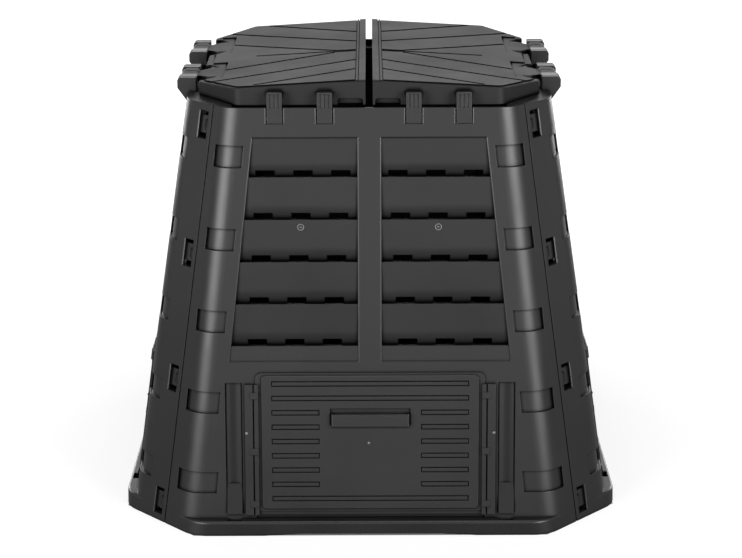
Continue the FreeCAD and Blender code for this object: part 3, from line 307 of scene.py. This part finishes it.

# Gate witnesses: the marks left where the plastic was injected, a ring with a snipped nub on a slat
# of each window, and a plain nub on each rail and each hatch. They are part of the mouldings, of
# the same plastic, and glossier because the steel round a gate is polished. Their grey colour is a
# painted highlight: it is far lighter than the black plastic, to stand in for their shine.
gate_plastic_painted_highlight = moulded_plastic(
    "Glossy gate witness polypropylene, painted highlight grey", "#5c5c5c", "#686868", rough=0.25, grain_mm=1.2,
    grain_depth_mm=0.02, edge_mm=0.3, painted_shade_mm=2.0, painted_shade_from=0.3)
slat_gate_x, slat_gate_z, slat_nub, slat_ring = 0.1245, 0.5636, 0.0018, 0.0054
rail_gate_x, rail_gate_z, rail_nub = 0.2275, 0.186, 0.003
hatch_gate_x, hatch_gate_z, hatch_nub = -0.0028, 0.1675, 0.0028
bead_half_width, bead_height = 0.0011, 0.0008
nub_flatness = 0.55
round_segments, dome_rings, bead_points = 28, 8, 5
front_foot_y, front_lean = -0.451, 0.116 / 0.7765

witness = bpy.data.node_groups.new("Gate witness", "GeometryNodeTree")
witness_inputs = {}
for name, kind in (("Place", "NodeSocketVector"), ("Normal", "NodeSocketVector"),
                   ("Ring radius", "NodeSocketFloat"), ("Nub radius", "NodeSocketFloat")):
    socket = witness.interface.new_socket(name, in_out="INPUT", socket_type=kind)
    witness_inputs[name] = socket.identifier
witness.interface.new_socket("Geometry", in_out="OUTPUT", socket_type="NodeSocketGeometry")
sizes = add_node(witness, "NodeGroupInput").outputs

# The ring is a rounded bead led round a circle. A mark with a ring radius of 0 has none.
circle = add_node(witness, "GeometryNodeCurvePrimitiveCircle", {
    "Resolution": round_segments, "Radius": sizes["Ring radius"]})
half_round = add_node(witness, "GeometryNodeCurveArc", {
    "Resolution": bead_points, "Radius": 1.0, "Start Angle": math.pi, "Sweep Angle": math.pi})
bead = add_node(witness, "GeometryNodeTransform", {
    "Geometry": half_round, "Scale": (bead_half_width, bead_height, 1.0)})
ring = add_node(witness, "GeometryNodeCurveToMesh", {"Curve": circle, "Profile Curve": bead})
has_ring = add_node(witness, "FunctionNodeCompare", {
    "A": sizes["Ring radius"], "B": 0.0}, operation="GREATER_THAN")
ring_or_none = add_node(witness, "GeometryNodeSwitch", {
    "Switch": has_ring, "True": ring}, input_type="GEOMETRY")

# The nub is the upper half of a flattened ball.
ball = add_node(witness, "GeometryNodeMeshUVSphere", {
    "Segments": round_segments, "Rings": dome_rings, "Radius": 1.0})
position = add_node(witness, "GeometryNodeInputPosition")
height = add_node(witness, "ShaderNodeSeparateXYZ", {0: position}).outputs["Z"]
lower_half = add_node(witness, "FunctionNodeCompare", {
    "A": height, "B": -0.01}, operation="LESS_THAN")
dome = add_node(witness, "GeometryNodeDeleteGeometry", {"Geometry": ball, "Selection": lower_half})
nub_size = add_node(witness, "ShaderNodeVectorMath", {
    0: (1.0, 1.0, nub_flatness), "Scale": sizes["Nub radius"]}, operation="SCALE")
nub = add_node(witness, "GeometryNodeTransform", {"Geometry": dome, "Scale": nub_size})

mark = add_node(witness, "GeometryNodeJoinGeometry", {"Geometry": [ring_or_none, nub]})
point = add_node(witness, "GeometryNodePoints", {"Count": 1, "Position": sizes["Place"]})
facing = add_node(witness, "FunctionNodeAlignRotationToVector", {
    "Vector": sizes["Normal"]}, axis="Z")
placed = add_node(witness, "GeometryNodeInstanceOnPoints", {
    "Points": point, "Instance": mark, "Rotation": facing})
plain = add_node(witness, "GeometryNodeRealizeInstances", {"Geometry": placed})
smooth = add_node(witness, "GeometryNodeSetShadeSmooth", {"Geometry": plain})
finished = add_node(witness, "GeometryNodeSetMaterial", {
    "Geometry": smooth, "Material": gate_plastic_painted_highlight})
add_node(witness, "NodeGroupOutput", {"Geometry": finished})


def gate_witness(name, body, moulding, quarter_turns, x, z, nub_radius, ring_radius=0.0):
    # The mark sits where the photograph's line of sight through x and z on the front meets the
    # moulding. The other sides have the same line turned round with them.
    turn = Matrix.Rotation(math.radians(90.0 * quarter_turns), 3, "Z")
    on_front = Vector((x, front_foot_y + front_lean * z, z))
    eye = turn @ camera_place
    sight = turn @ (on_front - camera_place).normalized()
    place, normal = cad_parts[moulding].ray_cast(eye, sight)[1:3]
    piece = bpy.data.objects.new(name, bpy.data.meshes.new(name))
    scene.collection.objects.link(piece)
    shaping = piece.modifiers.new("Gate witness", "NODES")
    shaping.node_group = witness
    shaping[witness_inputs["Place"]] = place
    shaping[witness_inputs["Normal"]] = normal
    shaping[witness_inputs["Ring radius"]] = ring_radius
    shaping[witness_inputs["Nub radius"]] = nub_radius
    shaped = piece.evaluated_get(bpy.context.evaluated_depsgraph_get())
    piece.data = bpy.data.meshes.new_from_object(shaped)
    piece.modifiers.clear()
    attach(piece, body)


for turns, side in enumerate(sides):
    wall, hatch = side + "_wall", side + "_hatch"
    for kind, x, z, nub_radius, ring_radius in (
            ("_gate_", slat_gate_x, slat_gate_z, slat_nub, slat_ring),
            ("_rail_gate_", rail_gate_x, rail_gate_z, rail_nub, 0.0)):
        gate_witness(side + kind + "left", "bin", wall, turns, -x, z, nub_radius, ring_radius)
        gate_witness(side + kind + "right", "bin", wall, turns, x, z, nub_radius, ring_radius)
    gate_witness(side + "_hatch_gate", hatch, hatch, turns, hatch_gate_x, hatch_gate_z, hatch_nub)
